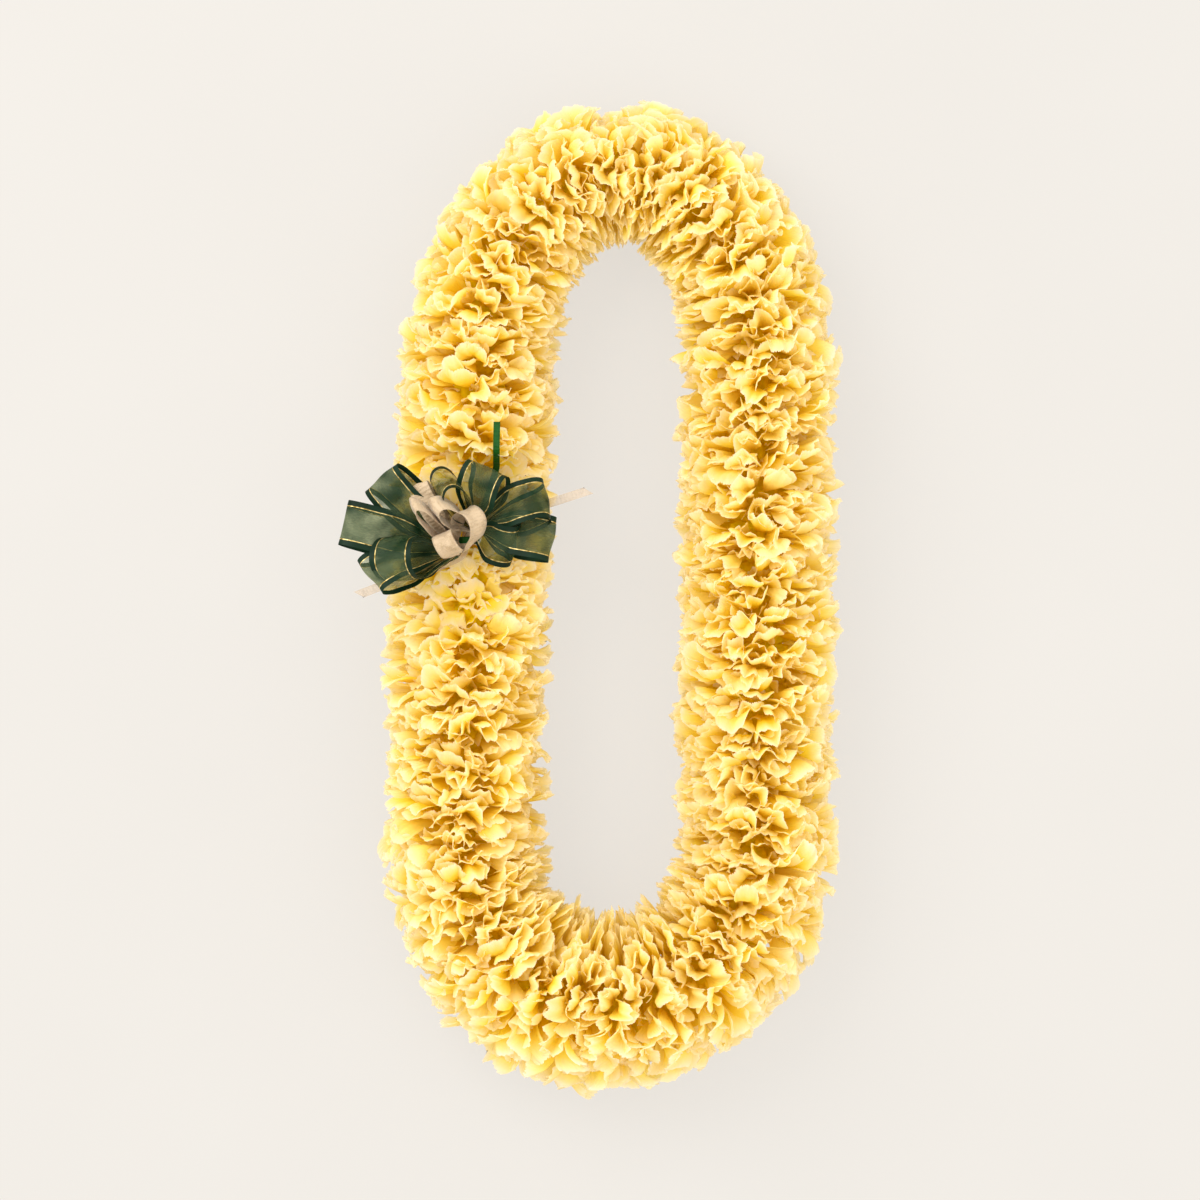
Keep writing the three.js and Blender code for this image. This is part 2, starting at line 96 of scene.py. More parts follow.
CREAM = {
    "width": 11.0,
    "root_width": 2.4,
    "reach": (3.4, 5.2, 3.5),
    "loops": (
        (-1, (-24, 28, 16), (0.78, 0.5, 0.28), 2.8, 0),
        (-1, (-25.5, 18, 33), (0.52, -0.79, 0.24), 2.6, 0),
        (1, (-14.5, 17.5, 33), (0.64, -0.69, 0.09), 3.8, 0),
        (-1, (-10.5, -0.5, 28), (0.94, 0.38, -0.09), 4.9, 0),
        (-1, (4.5, 13, 26), (-0.73, -0.41, 0.55), 6.6, 0),
    ),
}
WAIST_REACH = 0.62  # of the distance between the roots of its loops, to either side
WAIST_SIDES = 48
WAIST_ROWS = 21
TAIL_LINE = (
    (-55, -28),
    (-34, -20),
    (-12, -12.5),
    (-1.5, -6.5),
    (0, 0),
    (1.5, 6.5),
    (12, 11),
    (36, 17),
    (63, 25.5),
)
TAIL_WIDTH = 4.6
TAIL_Z = -3.7
TAIL_SLANT = 0.9
TIE_WIDTH = 3.4
TIE_RING = (
    (-3.8, 3.9),
    (-3.8, -2.0),
    (0.8, -27.6),
    (5.2, -27.6),
    (3.8, -2.0),
    (3.8, 3.9),
    (2.4, 5.4),
    (-2.4, 5.4),
)
TIE_WRAP_T = 0.5
TIE_END_T = 0.4
TIE_END = (
    (5.2, 0, -4.6),
    (8, 12, -4.6),
    (12, 25, -4.4),
    (15.5, 36, -1.2),
    (16, 41, 9),
    (16.2, 46, 16.8),
    (16.5, 60, 17.2),
)

# The view: straight down from far away, as wide as the photograph
VIEW_WIDTH = 622.3
VIEW_CENTRE = (-7.26, -6.74)
VIEW_HEIGHT = 38.0
CAMERA_DISTANCE = 2200.0
SENSOR = 36.0


def loop_line():
    """The loop clockwise from the bow, as places and the distance along it."""
    top = LOOP_HALF_LENGTH - TOP_ARCH
    bottom = BOTTOM_ARCH - LOOP_HALF_LENGTH
    turn = np.linspace(0, np.pi, 721)
    x = STRAND_OFFSET * np.concatenate([[-1], -np.cos(turn), np.cos(turn), [-1]])
    y = np.concatenate(
        [[BOW_ALONG_Y], top + TOP_ARCH * np.sin(turn), bottom - BOTTOM_ARCH * np.sin(turn), [BOW_ALONG_Y]]
    )
    v = y / LOOP_HALF_LENGTH
    x = LEAN * v + x * (1 - TAPER * v)
    along = np.concatenate([[0], np.cumsum(np.hypot(np.diff(x), np.diff(y)))])
    return x, y, along


LINE_X, LINE_Y, ALONG = loop_line()
LENGTH = ALONG[-1]
PITCH = (LENGTH - TIE_GAP) / BLOOMS


def string_at(s):
    """Place, outward normal and sleeve radius at distances along the string."""

    def place(distance):
        wrapped = np.mod(distance, LENGTH)
        return np.interp(wrapped, ALONG, LINE_X), np.interp(wrapped, ALONG, LINE_Y)

    x, y = place(s)
    x1, y1 = place(s + 3)
    x0, y0 = place(s - 3)
    size = np.hypot(x1 - x0, y1 - y0)
    radius = SLEEVE_R * (1 - SWELL * (y / LOOP_HALF_LENGTH) ** SWELL_POWER)
    return x, y, (y0 - y1) / size, (x1 - x0) / size, radius


def press(z, ceiling):
    """Heights with the petals flattened softly against the table and under the bow."""
    low = PRESS_DEPTH * np.exp((np.minimum(z, PRESS_DEPTH) - PRESS_DEPTH) / PRESS_DEPTH)
    z = np.where(z < PRESS_DEPTH, low, z)
    if ceiling is None:
        return z
    start = ceiling - PRESS_DEPTH
    high = ceiling - PRESS_DEPTH * np.exp((start - np.maximum(z, start)) / PRESS_DEPTH)
    return np.where(z > start, high, z)


def sleeve_place(s, outward, upward, ceiling):
    """Points of the part, from the distance along the string and the offsets across it."""
    x, y, out_x, out_y, radius = string_at(s)
    z = press(radius * STRING_HEIGHT_SHARE + upward, ceiling)
    return np.stack([x + outward * out_x + PART_ORIGIN[0], y + outward * out_y + PART_ORIGIN[1], z], axis=-1)


def stitch(inner, outer):
    """Triangles between two rows of vertex numbers, the longer row's points shared out evenly."""
    triangles = []
    i = j = 0
    while i < len(inner) - 1 or j < len(outer) - 1:
        if (j + 1) * (len(inner) - 1) <= (i + 1) * (len(outer) - 1):
            triangles.append((inner[i], outer[j], outer[j + 1]))
            j += 1
        else:
            triangles.append((inner[i], outer[j], inner[i + 1]))
            i += 1
    return triangles


def quads(a, b, c, d):
    """Two triangles for each four vertex numbers."""
    a, b, c, d = (x.ravel() for x in (a, b, c, d))
    return np.concatenate([np.stack([a, b, c], 1), np.stack([a, c, d], 1)])


def barrel(rows, sides):
    """Triangles of a closed barrel whose points lie in rows round it."""
    number = np.arange(rows * sides).reshape(rows, sides)
    after = np.roll(number, -1, axis=1)
    ends = (number[0][::-1], number[-1])
    caps = [(row[0], row[i], row[i + 1]) for row in ends for i in range(1, sides - 1)]
    return np.concatenate([quads(number[:-1], after[:-1], after[1:], number[1:]), caps])


def petal_pattern():
    """One petal's points, as the row and the place across of each, and its triangles."""
    rows, row_of, across = [], [], []
    for row, count in enumerate(ROW_POINTS):
        rows.append(list(range(len(row_of), len(row_of) + count)))
        row_of += [row] * count
        across += list(np.linspace(-1, 1, count))
    triangles = [t for inner, outer in zip(rows, rows[1:]) for t in stitch(inner, outer)]
    return np.array(row_of), np.array(across), np.array(triangles)


ROW_OF, ACROSS, PETAL_TRIANGLES = petal_pattern()


def petal_spines(length, curl):
    """How far out and aside each petal's middle line runs, and its bend, at even steps of its length."""
    step = np.linspace(0, 1, SPINE_STEPS)[None, :]
    bend = curl * np.clip((step - CURL_START) / (1 - CURL_START), 0, 1) ** 1.6
    out, aside = (
        np.concatenate([np.zeros((len(curl), 1)), np.cumsum((f[:, 1:] + f[:, :-1]) / 2, axis=1)], axis=1)
        for f in (np.cos(bend), np.sin(bend))
    )
    scale = length / out.max(axis=1, keepdims=True)
    return out * scale, aside * scale, bend


def bloom(index):
    """All petals of one bloom and its heart: points, triangles, each point's looks and place in the map."""
    rng = np.random.default_rng(100 + index)
    middle = TIE_GAP / 2 + (index + 0.5) * PITCH
    half = PITCH / 2
    pressed = index < SEAT_BLOOMS or index >= BLOOMS - SEAT_BLOOMS
    ceiling = SEAT_HEIGHT if pressed else None
    n = PETALS
    order = np.arange(n)

    def each(low, high):
        return rng.uniform(low, high, (n, 1))

    turn = np.mod(order * TURN_STEP + rng.uniform(), 1).reshape(n, 1)
    lean = np.mod(order * LEAN_STEP + rng.uniform(), 1).reshape(n, 1) * 2 - 1
    azimuth = 2 * np.pi * turn + each(-0.08, 0.08)
    margin_s = lean * (half + OVERLAP) + each(-1.0, 1.0)
    root_s = lean * CLAW_SPREAD
    radius = string_at(np.array([middle]))[4][0]
    shortened = rng.uniform(size=(n, 1))
    short = each(0.25, 0.45)
    inner = np.where(shortened < SHORT_SHARE, short, np.where(shortened < INNER_SHARE, each(0.05, 0.2), 0))
    ripples = np.sin(5 * azimuth + rng.uniform(0, 6.28))
    lobes = 1 + LOBES * ripples * np.sin(2 * azimuth + rng.uniform(0, 6.28))
    length = radius * (each(0.94, 1.09) * lobes - inner)
    size = each(0.78, 1.2) * (1 - 0.4 * inner)
    twist = rng.normal(0, 0.45, (n, 1))
    curl = each(0.1, 1.3) * np.sign(each(-1, 1))
    roll = rng.normal(0, 0.9, (n, 1))
    out_line, aside_line, bend_line = petal_spines(length, curl)

    v = np.array(ROW_PLACE)[ROW_OF][None, :] + np.zeros((n, 1))
    u = ACROSS[None, :] + np.zeros((n, 1))
    half_width = np.array(ROW_HALF_WIDTH)[ROW_OF][None, :] * size
    grow = np.clip((v - 0.3) / 0.7, 0, 1)
    margin = (ROW_OF == len(ROW_POINTS) - 1)[None, :]
    tooth = margin * (np.round((u + 1) * TEETH).astype(int) % 2) * rng.uniform(0.003, 0.02, u.shape)
    notch = 0.05 * each(0, 1) * np.abs(np.sin(u * each(2.2, 4.2) + each(0, 3))) ** 6 * (v > 0.85)
    place = v * (1 - 0.12 * np.abs(u) ** 2.5 * v) - tooth - notch
    ruffle = (
        each(0.9, 2.3) * grow**1.3 * np.sin(u * each(3.0, 5.5) + each(0, 6.28))
        + each(0.5, 1.2) * grow**2.5 * np.sin(u * each(6.5, 10) + each(0, 6.28))
        + each(0.15, 0.5) * grow**5 * np.sin(u * each(12, 17) + each(0, 6.28))
        + half_width * (1 - np.cos(roll * u)) / roll
    )
    step = np.clip(place, 0, 1) * (SPINE_STEPS - 1)
    low = np.minimum(step.astype(int), SPINE_STEPS - 2)
    part = step - low

    def on_spine(line):
        return np.take_along_axis(line, low, 1) * (1 - part) + np.take_along_axis(line, low + 1, 1) * part

    bend = on_spine(bend_line)
    out = on_spine(out_line) - ruffle * np.sin(bend)
    aside = on_spine(aside_line) + ruffle * np.cos(bend)
    across = half_width * np.sin(roll * u) / roll
    s = middle + root_s + (margin_s - root_s) * v + across * np.sin(twist) + aside * np.cos(twist)
    tangent = across * np.cos(twist) - aside * np.sin(twist)
    outward = out * np.cos(azimuth) - tangent * np.sin(azimuth)
    upward = out * np.sin(azimuth) + tangent * np.cos(azimuth)
    points = sleeve_place(s, outward, upward, ceiling).reshape(-1, 3)
    triangles = (PETAL_TRIANGLES[None] + order[:, None, None] * len(ROW_OF)).reshape(-1, 3)
    tone = each(0, 1) + np.zeros_like(v)
    mottle = np.sin(u * each(3, 9) + v * each(10, 25) + each(0, 6.28))
    mottle = mottle + np.sin(u * each(9, 16) - v * each(5, 30))
    cell_x = (order % MAP_COLUMNS)[:, None] + 0.5 + 0.46 * u
    cell_y = (order // MAP_COLUMNS)[:, None] + 0.04 + 0.92 * v
    cells = (MAP_COLUMNS, MAP_ROWS)
    texture = np.stack([cell_x, cell_y], axis=-1).reshape(-1, 2) / cells
    heart_points, heart_triangles = heart(index, rng)
    heart_look = {"along": HEART_TONE, "tone": 0.0, "across": 0.0, "mottle": 0.0}
    looks = {"along": v, "tone": tone, "across": u, "mottle": mottle}
    attributes = {
        name: np.append(values.reshape(-1), np.full(len(heart_points), heart_look[name]))
        for name, values in looks.items()
    }
    triangles = np.concatenate([triangles, heart_triangles + len(points)])
    texture = np.concatenate([texture, np.tile(np.divide(HEART_CELL, cells), (len(heart_points), 1))])
    return np.concatenate([points, heart_points]), triangles, attributes, texture


def heart(index, rng):
    """The bundled claws in a bloom's middle: a closed, deeply creased barrel round the string."""
    middle = TIE_GAP / 2 + (index + 0.5) * PITCH
    turn = np.linspace(0, 2 * np.pi, HEART_SIDES, endpoint=False)[None, :]
    place = np.linspace(-1, 1, HEART_ROWS)[:, None]
    crease = 1 + 0.16 * np.sin(9 * turn + 4 * place + rng.uniform(0, 6)) + 0.1 * np.sin(17 * turn - 7 * place)
    radius = HEART_R * crease * (1 - 0.5 * place**8)
    s = np.clip(middle + place * (PITCH / 2 + 1.5), TIE_GAP / 2, LENGTH - TIE_GAP / 2) + 0 * turn
    points = sleeve_place(s, radius * np.cos(turn), radius * np.sin(turn), None).reshape(-1, 3)
    return points, barrel(HEART_ROWS, HEART_SIDES)


def mesh_object(name, points, triangles, attributes, material, texture=None):
    """A smooth mesh from millimetres in the part's frame, with a number on each point for each attribute."""
    mesh = bpy.data.meshes.new(name)
    mesh.vertices.add(len(points))
    mesh.vertices.foreach_set("co", (np.asarray(points, float) / 1000).astype(np.float32).ravel())
    mesh.loops.add(len(triangles) * 3)
    mesh.loops.foreach_set("vertex_index", np.asarray(triangles, np.int32).ravel())
    mesh.polygons.add(len(triangles))
    mesh.polygons.foreach_set("loop_start", np.arange(0, len(triangles) * 3, 3, dtype=np.int32))
    mesh.polygons.foreach_set("use_smooth", np.ones(len(triangles), bool))
    mesh.update(calc_edges=True)
    for key, values in attributes.items():
        made = mesh.attributes.new(key, "FLOAT", "POINT")
        made.data.foreach_set("value", np.asarray(values, np.float32))
    if texture is not None:
        corners = texture[np.asarray(triangles).ravel()].astype(np.float32)
        mesh.uv_layers.new(name=MAP_NAME).data.foreach_set("uv", corners.ravel())
    mesh.materials.append(material)
    obj = bpy.data.objects.new(name, mesh)
    bpy.context.scene.collection.objects.link(obj)
    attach(obj, "root")
    return obj


class Nodes:
    """A material's node tree, built by short calls."""

    def __init__(self, name):
        self.material = bpy.data.materials.new(name)
        self.material.use_nodes = True
        self.tree = self.material.node_tree
        self.tree.nodes.clear()
        self.output = self.tree.nodes.new("ShaderNodeOutputMaterial")

    def add(self, kind, values=None, **options):
        node = self.tree.nodes.new("ShaderNode" + kind)
        for key, value in options.items():
            setattr(node, key, value)
        for key, value in (values or {}).items():
            if isinstance(value, bpy.types.NodeSocket):
                self.tree.links.new(value, node.inputs[key])
            else:
                node.inputs[key].default_value = value
        return node

    def attribute(self, name):
        return self.add("Attribute", attribute_name=name).outputs["Fac"]

    def math(self, operation, a, b=0.0, c=0.0):
        return self.add("Math", {0: a, 1: b, 2: c}, operation=operation).outputs[0]

    def noise(self, scale, detail=3.0, vector=None):
        values = {"Scale": scale, "Detail": detail}
        if vector is not None:
            values["Vector"] = vector
        return self.add("TexNoise", values).outputs["Fac"]

    def span(self, value, low, high, to_low=0.0, to_high=1.0):
        values = {"Value": value, "From Min": low, "From Max": high, "To Min": to_low, "To Max": to_high}
        return self.add("MapRange", values).outputs["Result"]

    def ramp(self, factor, stops):
        node = self.add("ValToRGB", {"Fac": factor})
        elements = node.color_ramp.elements
        while len(elements) < len(stops):
            elements.new(0.5)
        for element, (place, colour) in zip(elements, stops):
            element.position = place
            element.color = (*colour, 1)
        return node.outputs["Color"]

    def mix(self, factor, a, b, blend="MIX"):
        node = self.add("Mix", data_type="RGBA", blend_type=blend)
        for socket, value in ((node.inputs[0], factor), (node.inputs[6], a), (node.inputs[7], b)):
            if isinstance(value, bpy.types.NodeSocket):
                self.tree.links.new(value, socket)
            else:
                socket.default_value = value if socket.type == "VALUE" else (*value, 1)
        return node.outputs[2]

    def bump(self, height, strength, distance):
        values = {"Height": height, "Strength": strength, "Distance": distance}
        return self.add("Bump", values).outputs["Normal"]

    def finish(self, shader):
        self.tree.links.new(shader, self.output.inputs["Surface"])
        return self.material


def petal_material():
    """Golden inside and cream at the margin, some petals paler, with fine veins, light shining through, and a
    faint painted orange glow.
    """
    nodes = Nodes("petals")
    along = nodes.attribute("along")
    mottle = nodes.attribute("mottle")
    place = nodes.math("MULTIPLY_ADD", mottle, 0.012, along)
    colour = nodes.ramp(
        place,
        (
            (0.1, (0.97, 0.78, 0.02)),
            (0.34, (1.0, 0.77, 0.0)),
            (0.62, (1.0, 0.80, 0.01)),
            (0.80, (1.0, 0.84, 0.10)),
            (0.92, (1.0, 0.88, 0.40)),
            (1.0, (1.0, 0.94, 0.76)),
        ),
    )
    paleness = nodes.math("MULTIPLY", nodes.math("MULTIPLY", nodes.attribute("tone"), along), 0.6)
    pale = nodes.mix(paleness, colour, (1.0, 0.89, 0.57))
    vein = nodes.math("SINE", nodes.math("MULTIPLY", nodes.attribute("across"), 64.0))
    normal = nodes.bump(nodes.math("MULTIPLY_ADD", mottle, 0.4, vein), 0.2, 0.0003)
    body = nodes.add(
        "BsdfPrincipled",
        {
            "Base Color": pale,
            "Roughness": nodes.span(mottle, -2.0, 2.0, 0.5, 0.65),
            "Normal": normal,
            "Specular IOR Level": 0.05,
            # Painted glow: a faint orange emission on every petal stands in for light scattered through many
            # layers of petals.
            "Emission Color": (1.0, 0.68, 0.0, 1),
            "Emission Strength": 0.045,
        },
    )
    glow = nodes.add("BsdfTranslucent", {"Color": pale, "Normal": normal})
    mixed = nodes.add("MixShader", {0: 0.55, 1: body.outputs[0], 2: glow.outputs[0]})
    return nodes.finish(mixed.outputs[0])


def green_material():
    """Sheer woven ribbon: satin along both edges, a gold thread inside each, see-through in the middle, with
    a painted milky sheen on its paler patches and painted glints along the gold threads.
    """
    nodes = Nodes("green_ribbon")
    across = nodes.attribute("across")
    along = nodes.attribute("along")
    from_middle = nodes.math("MULTIPLY", nodes.math("ABSOLUTE", across), GREEN["width"] / 2)
    satin = nodes.math("GREATER_THAN", from_middle, SATIN_FROM)
    gold = nodes.math("COMPARE", from_middle, GOLD_AT, GOLD_HALF)
    where = nodes.add("TexCoord").outputs["Object"]
    cloud = nodes.noise(75.0, 1.0, where)
    # Painted glints: fine noise that makes the gold threads bright in random dashes.
    painted_glint = nodes.noise(500.0, 1.0, where)
    weave_across = nodes.math("MULTIPLY", across, 16.0)
    weave_along = nodes.math("MULTIPLY", along, 0.3)
    crinkle = nodes.noise(1.5, 4.0, nodes.add("CombineXYZ", {0: weave_across, 1: weave_along}).outputs[0])
    # Random tone and painted sheen: where the cloud is high the sheer turns paler and milky, a painted sheen;
    # where it is low it is darker and denser.
    sheer_tone_and_sheen = nodes.ramp(cloud, ((0.36, (0.006, 0.030, 0.010)), (0.64, (0.10, 0.145, 0.075))))
    satin_green = nodes.ramp(cloud, ((0.3, (0.002, 0.014, 0.005)), (0.7, (0.010, 0.034, 0.017))))
    # The bright end of this ramp is a painted glint on the gold thread.
    gold_thread = nodes.ramp(painted_glint, ((0.35, (0.30, 0.19, 0.03)), (0.65, (1.0, 0.78, 0.34))))
    colour = nodes.mix(satin, sheer_tone_and_sheen, satin_green)
    colour = nodes.mix(gold, colour, gold_thread)
    cloth = nodes.add(
        "BsdfPrincipled",
        {
            "Base Color": colour,
            "Roughness": nodes.math("MULTIPLY_ADD", crinkle, 0.3, 0.25),
            "Metallic": nodes.math("MULTIPLY", gold, 0.6),
            "Specular IOR Level": 0.15,
            "Normal": nodes.bump(crinkle, 0.5, 0.0004),
        },
    )
    glow = nodes.add("BsdfTranslucent", {"Color": colour})
    lit = nodes.add("MixShader", {0: 0.25, 1: cloth.outputs[0], 2: glow.outputs[0]})
    clear = nodes.add("BsdfTransparent", {"Color": (0.92, 0.94, 0.76, 1)})
    solid = nodes.math("MAXIMUM", satin, gold)
    thin = nodes.span(nodes.math("MULTIPLY_ADD", crinkle, 0.4, cloud), 0.55, 0.85, 0.15, 0.62)
    openness = nodes.math("MULTIPLY", nodes.math("SUBTRACT", 1.0, solid), thin)
    mixed = nodes.add("MixShader", {0: openness, 1: lit.outputs[0], 2: clear.outputs[0]})
    return nodes.finish(mixed.outputs[0])


def satin_material(name, dark, light, roughness, clear=0.0, sheen=0.3):
    """Ribbon with a fine grain along it and soft crinkles across it."""
    nodes = Nodes(name)
    across = nodes.attribute("across")
    along = nodes.attribute("along")
    where = nodes.add("TexCoord").outputs["Object"]
    fine = nodes.noise(1500.0, 2.0, where)
    soft = nodes.noise(260.0, 2.0, where)
    grain = nodes.math("SINE", nodes.math("MULTIPLY", across, 60.0))
    crinkle = nodes.math("SINE", nodes.math("MULTIPLY_ADD", soft, 9.0, nodes.math("MULTIPLY", along, 3.2)))
    height = nodes.math("MULTIPLY_ADD", crinkle, 0.5, nodes.math("MULTIPLY_ADD", grain, 0.12, fine))
    colour = nodes.ramp(nodes.math("MULTIPLY_ADD", fine, 0.9, soft), ((0.7, dark), (1.0, light)))
    cloth = nodes.add(
        "BsdfPrincipled",
        {
            "Base Color": colour,
            "Roughness": nodes.math("MULTIPLY_ADD", soft, 0.15, roughness),
            "Sheen Weight": sheen,
            "Specular IOR Level": 0.3,
            "Normal": nodes.bump(height, 0.8, 0.00022),
        },
    )
    glow = nodes.add("BsdfTranslucent", {"Color": colour})
    mixed = nodes.add("MixShader", {0: 0.2, 1: cloth.outputs[0], 2: glow.outputs[0]})
    if clear:
        beyond = nodes.add("BsdfTransparent")
        mixed = nodes.add("MixShader", {0: clear, 1: mixed.outputs[0], 2: beyond.outputs[0]})
    return nodes.finish(mixed.outputs[0])


def string_material():
    """Twisted cotton."""
    nodes = Nodes("string")
    where = nodes.add("TexCoord").outputs["Object"]
    twist = {"Vector": where, "Scale": 700.0, "Distortion": 2.0}
    wave = nodes.add("TexWave", twist, bands_direction="DIAGONAL")
    colour = nodes.ramp(wave.outputs["Fac"], ((0.0, (0.55, 0.50, 0.40)), (1.0, (0.85, 0.82, 0.74))))
    cloth = nodes.add(
        "BsdfPrincipled",
        {"Base Color": colour, "Roughness": 0.85, "Normal": nodes.bump(wave.outputs["Fac"], 0.6, 0.0002)},
    )
    return nodes.finish(cloth.outputs[0])


def unit(a):
    a = np.asarray(a, float)
    return a / np.linalg.norm(a, axis=-1, keepdims=True)


def smoothstep(x, low, high):
    t = np.clip((x - low) / (high - low), 0, 1)
    return t * t * (3 - 2 * t)


def band(middle, across, width, columns, thickness=RIBBON_T, lift=None):
    """A strip of cloth along a middle line, closed if it has a thickness, and each point's place on it."""
    n = len(middle)
    direction = unit(np.gradient(middle, axis=0))
    across = np.broadcast_to(across, middle.shape)
    normal = unit(np.cross(across, direction))
    u = np.linspace(-1, 1, columns)
    along = np.concatenate([[0], np.cumsum(np.linalg.norm(np.diff(middle, axis=0), axis=1))])
    grid = middle[:, None] + across[:, None] * (u[None, :, None] * np.reshape(width, (-1, 1, 1)) / 2)
    if lift is not None:
        grid = grid + normal[:, None] * lift(u[None, :], along[:, None])[..., None]
    number = np.arange(n * columns).reshape(n, columns)
    faces = 2 if thickness else 1
    attributes = {
        "across": np.tile(np.broadcast_to(u, (n, columns)).ravel(), faces),
        "along": np.tile(np.broadcast_to(along[:, None], (n, columns)).ravel(), faces),
    }

    top = quads(number[:-1, :-1], number[1:, :-1], number[1:, 1:], number[:-1, 1:])
    if not thickness:
        return grid.reshape(-1, 3), top, attributes
    step = normal[:, None] * thickness / 2
    points = np.concatenate([(grid + step).reshape(-1, 3), (grid - step).reshape(-1, 3)])
    under = number + n * columns
    bottom = quads(under[:-1, :-1], under[:-1, 1:], under[1:, 1:], under[1:, :-1])
    rim = np.concatenate([number[0], number[1:, -1], number[-1, -2::-1], number[-2:0:-1, 0]])
    after = np.roll(rim, -1)
    edge = quads(rim, after, after + n * columns, rim + n * columns)
    return points, np.concatenate([top, bottom, edge]), attributes


def join(bands):
    """One mesh's points, triangles and attributes from those of several."""
    points, triangles, attributes, start = [], [], {}, 0
    for p, t, a in bands:
        points.append(p)
        triangles.append(t + start)
        start += len(p)
        for key, values in a.items():
            attributes.setdefault(key, []).append(values)
    merged = {key: np.concatenate(values) for key, values in attributes.items()}
    return np.concatenate(points), np.concatenate(triangles), merged


def ribbon_loop(loop, ribbon, rng, stations=73, columns=17, thickness=RIBBON_T):
    """One loop, out along a curve to its tip and back: opened in the middle, gathered at the waist."""
    side, tip, across, opening, rise = loop
    root = side * np.array(ribbon["reach"]) * (1, 1, side)
    along = np.array(tip, float) - root
    across = np.array(across, float)
    across = unit(across - along * np.dot(across, along) / np.dot(along, along))
    normal = unit(np.cross(along, across))
    t = np.linspace(0, 1, stations)[:, None]
    far = np.sin(np.pi * t)
    opened = opening * np.sin(2 * np.pi * t) + LOOP_ROOT_SPLIT * np.cos(np.pi * t)
    middle = root + along * far + across * rise * (far * far - far) + normal * opened
    crosswise = unit(np.cross(normal, along + across * rise * (2 * far - 1)))
    spread = smoothstep(far[:, 0], 0, 0.6)
    width = ribbon["root_width"] + (ribbon["width"] - ribbon["root_width"]) * spread
    waves = rng.uniform(0, 6.28, 4)
    total = np.linalg.norm(np.diff(middle, axis=0), axis=1).sum()

    def lift(u, s):
        near_root = 1 - smoothstep(np.sin(np.pi * s / total), 0.1, 0.75)
        pleats = near_root * np.sin(u * 7 + waves[0])
        crumple = 0.35 * np.sin(u * 3.1 + s * 0.16 + waves[1]) + 0.18 * np.sin(s * 0.45 - u * 4 + waves[2])
        return pleats + crumple

    return band(middle, crosswise, width, columns, thickness=thickness, lift=lift)


def waist(ribbon, half, height):
    """The gathered middle of a ribbon: its layers bunched in a short pleated bar, closed at both ends."""
    reach = np.array(ribbon["reach"], float)
    ends = np.stack([-reach, reach])
    ends[:, 2] = reach[2]
    side = unit(np.cross([0, 0, 1], unit(ends[1] - ends[0])))
    turn = np.linspace(0, 2 * np.pi, WAIST_SIDES + 1)[:-1]
    rows = []
    for place in np.linspace(-WAIST_REACH, WAIST_REACH, WAIST_ROWS):
        centre = (ends[0] + ends[1]) / 2 + (ends[1] - ends[0]) * place
        closed = abs(place) > WAIST_REACH - 0.01
        pinch = 0.05 if closed else 0.72 + 0.5 * abs(place) ** 1.5
        ripple = 1 + 0.12 * np.sin(turn * 9 + place * 2)
        wide = side * (half * pinch * ripple * np.cos(turn))[:, None]
        high = np.array([0, 0, 1]) * (height * pinch * ripple * np.sin(turn))[:, None]
        rows.append(centre + wide + high)
    attributes = {
        "across": np.tile(np.cos(turn) * 0.9, WAIST_ROWS),
        "along": np.repeat(np.linspace(-WAIST_REACH, WAIST_REACH, WAIST_ROWS) * 14, WAIST_SIDES),
    }
    return np.concatenate(rows), barrel(WAIST_ROWS, WAIST_SIDES), attributes


def smooth_curve(points, count):
    """Evenly placed points on a smooth curve through the given ones."""
    points = np.array(points, float)
    knots = np.concatenate([[0], np.cumsum(np.linalg.norm(np.diff(points, axis=0), axis=1))])
    slopes = np.gradient(points, knots, axis=0)
    s = np.linspace(0, knots[-1], count)
    i = np.clip(np.searchsorted(knots, s, side="right") - 1, 0, len(knots) - 2)
    h = (knots[i + 1] - knots[i])[:, None]
    t = (s - knots[i])[:, None] / h
    a, b = points[i], points[i + 1]
    return (
        a * (2 * t**3 - 3 * t**2 + 1)
        + slopes[i] * h * (t**3 - 2 * t**2 + t)
        + b * (3 * t**2 - 2 * t**3)
        + slopes[i + 1] * h * (t**3 - t**2)
    )


def tails():
    """The narrow strip under the bow, both of its ends cut aslant."""
    line = smooth_curve([(x, y, TAIL_Z) for x, y in TAIL_LINE], 90)
    direction = unit(np.gradient(line, axis=0))
    across = np.stack([direction[:, 1], -direction[:, 0], np.zeros(len(line))], axis=1)
    across[0] += direction[0] * TAIL_SLANT
    across[-1] += direction[-1] * TAIL_SLANT
    return band(line, across, np.full(len(line), TAIL_WIDTH), 9, thickness=0)


def tie():
    """The wrap that holds the bow to the string, and the free end that lies on the petals."""
    ring = np.array([(x, 0, z) for x, z in (*TIE_RING, TIE_RING[0])])
    corners = np.concatenate([[0], np.cumsum(np.linalg.norm(np.diff(ring, axis=0), axis=1))])
    s = np.linspace(0, corners[-1], 160)
    line = np.stack([np.interp(s, corners, ring[:, i]) for i in range(3)], axis=1)
    for _ in range(6):
        line[1:-1] = (line[:-2] + 2 * line[1:-1] + line[2:]) / 4
    wrap = band(line, np.array([0.0, 1.0, 0.0]), np.full(len(line), TIE_WIDTH), 7, thickness=TIE_WRAP_T)
    end = smooth_curve(TIE_END, 120)
    direction = unit(np.gradient(end, axis=0))
    across = unit(np.stack([direction[:, 1], -direction[:, 0], np.zeros(len(end))], axis=1))
    return [wrap, band(end, across, np.full(len(end), TIE_WIDTH), 7, thickness=TIE_END_T)]


def bow_object(name, bands, material, node):
    points, triangles, attributes = join(bands)
    points = points + np.array(BOW_ORIGIN) + np.array([*PART_ORIGIN, 0])
    obj = mesh_object(name, points, triangles, attributes, material)
    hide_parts(node)
    return obj


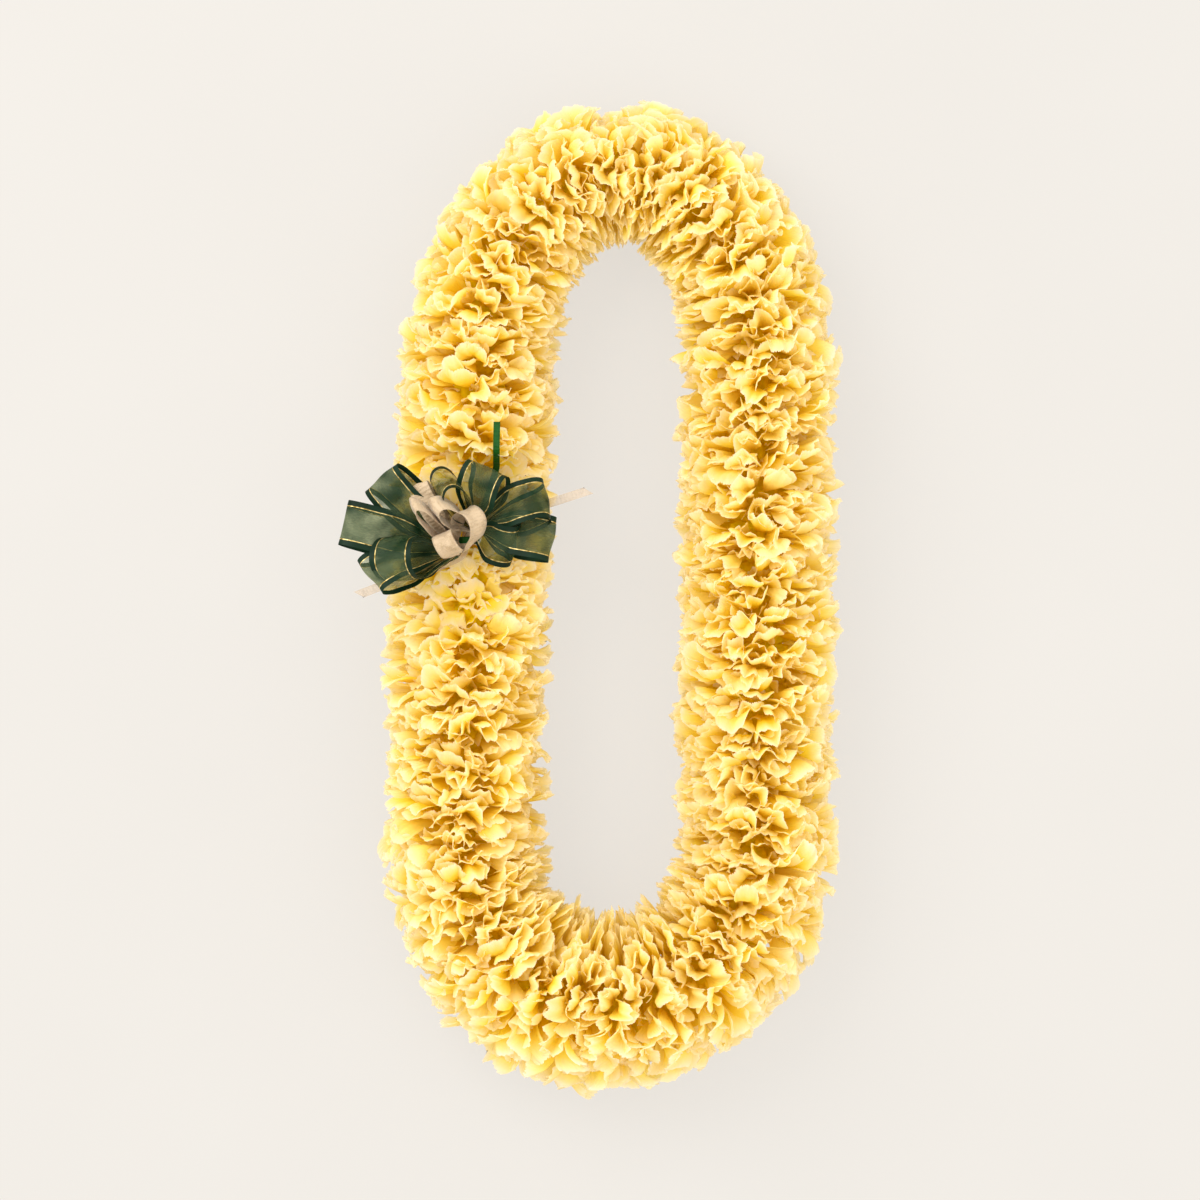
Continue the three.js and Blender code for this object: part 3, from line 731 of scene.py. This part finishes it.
def build_bow():
    rng = np.random.default_rng(3)
    green_loops = [ribbon_loop(loop, GREEN, rng, thickness=0) for loop in GREEN["loops"]]
    bands = [*green_loops, waist(GREEN, 1.9, 1.6)]
    green = bow_object("green_ribbon", bands, green_material(), "bow_green_ribbon")
    cream_look = satin_material("cream_ribbon", (0.53, 0.385, 0.225), (0.68, 0.52, 0.34), 0.26)
    cream_loops = [ribbon_loop(loop, CREAM, rng, stations=57, columns=11) for loop in CREAM["loops"]]
    bands = [*cream_loops, waist(CREAM, 1.5, 1.3)]
    cream = bow_object("cream_ribbon", bands, cream_look, "bow_cream_ribbon")
    tail_look = satin_material("cream_tails", (0.55, 0.41, 0.27), (0.70, 0.55, 0.39), 0.26, clear=0.4)
    bow_object("cream_tails", [tails()], tail_look, "bow_cream_tails")
    tie_look = satin_material("tie_ribbon", (0.002, 0.055, 0.002), (0.004, 0.095, 0.004), 0.45, sheen=0.0)
    bow_object("tie_ribbon", tie(), tie_look, "bow_tie")


def build_blooms():
    material = petal_material()
    for k in range(BLOOMS):
        points, triangles, attributes, texture = bloom(k)
        obj = mesh_object(f"carnation_{k + 1:02d}", points, triangles, attributes, material, texture)
        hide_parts(f"bloom_{k + 1:02d}")


def build_table():
    """The pale table under the part, partly lit by itself so that it stays bright and even."""
    nodes = Nodes("table")
    grain = nodes.noise(6.0, 2.0, nodes.add("TexCoord").outputs["Object"])
    colour = nodes.ramp(grain, ((0.3, (0.134, 0.127, 0.120)), (0.7, (0.141, 0.134, 0.127))))
    cloth = nodes.add("BsdfDiffuse", {"Color": colour})
    glow = nodes.add("Emission", {"Color": (1.0, 0.965, 0.91, 1), "Strength": 0.66})
    surface = nodes.add("AddShader", {0: cloth.outputs[0], 1: glow.outputs[0]})
    material = nodes.finish(surface.outputs[0])
    material.cycles.emission_sampling = "NONE"
    mesh = bpy.data.meshes.new("table")
    side = 4.0
    corners = [(-side, -side, 0), (side, -side, 0), (side, side, 0), (-side, side, 0)]
    mesh.from_pydata(corners, [], [(0, 1, 2, 3)])
    mesh.materials.append(material)
    table = bpy.data.objects.new("table", mesh)
    bpy.context.scene.collection.objects.link(table)


def area_light(name, place, target, size, power, colour):
    light = bpy.data.lights.new(name, "AREA")
    light.size = size
    light.energy = power
    light.color = colour
    obj = bpy.data.objects.new(name, light)
    obj.location = place
    obj.rotation_euler = (Vector(target) - Vector(place)).to_track_quat("-Z", "Y").to_euler()
    bpy.context.scene.collection.objects.link(obj)


def build_view():
    """The camera straight above, two soft lights and an even pale light from all round."""
    scene = bpy.context.scene
    camera = bpy.data.objects.new("camera", bpy.data.cameras.new("camera"))
    camera.data.sensor_width = SENSOR
    camera.data.lens = SENSOR * CAMERA_DISTANCE / VIEW_WIDTH
    camera.location = (
        (VIEW_CENTRE[0] + PART_ORIGIN[0]) / 1000,
        (VIEW_CENTRE[1] + PART_ORIGIN[1]) / 1000,
        (VIEW_HEIGHT + CAMERA_DISTANCE) / 1000,
    )
    scene.collection.objects.link(camera)
    scene.camera = camera
    scene.view_settings.view_transform = "Standard"
    area_light("key", (-1.1, 0.9, 1.5), (0, 0, 0.03), 1.4, 26, (1.0, 0.985, 0.955))
    area_light("fill", (1.2, -0.6, 1.3), (0, 0, 0.03), 1.6, 8, (1.0, 0.98, 0.95))
    world = bpy.data.worlds.new("studio")
    world.use_nodes = True
    background = world.node_tree.nodes["Background"]
    background.inputs["Color"].default_value = (1.0, 0.985, 0.95, 1)
    background.inputs["Strength"].default_value = 1.25
    scene.world = world


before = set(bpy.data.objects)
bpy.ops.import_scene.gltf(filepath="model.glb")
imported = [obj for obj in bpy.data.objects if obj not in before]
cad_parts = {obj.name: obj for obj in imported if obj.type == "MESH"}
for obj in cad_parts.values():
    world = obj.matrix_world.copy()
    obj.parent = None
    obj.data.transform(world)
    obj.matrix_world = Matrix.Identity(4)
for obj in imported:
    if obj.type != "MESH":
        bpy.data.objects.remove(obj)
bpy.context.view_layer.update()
bpy.data.objects["string"].data.materials.clear()
bpy.data.objects["string"].data.materials.append(string_material())
build_blooms()
build_bow()
build_table()
build_view()
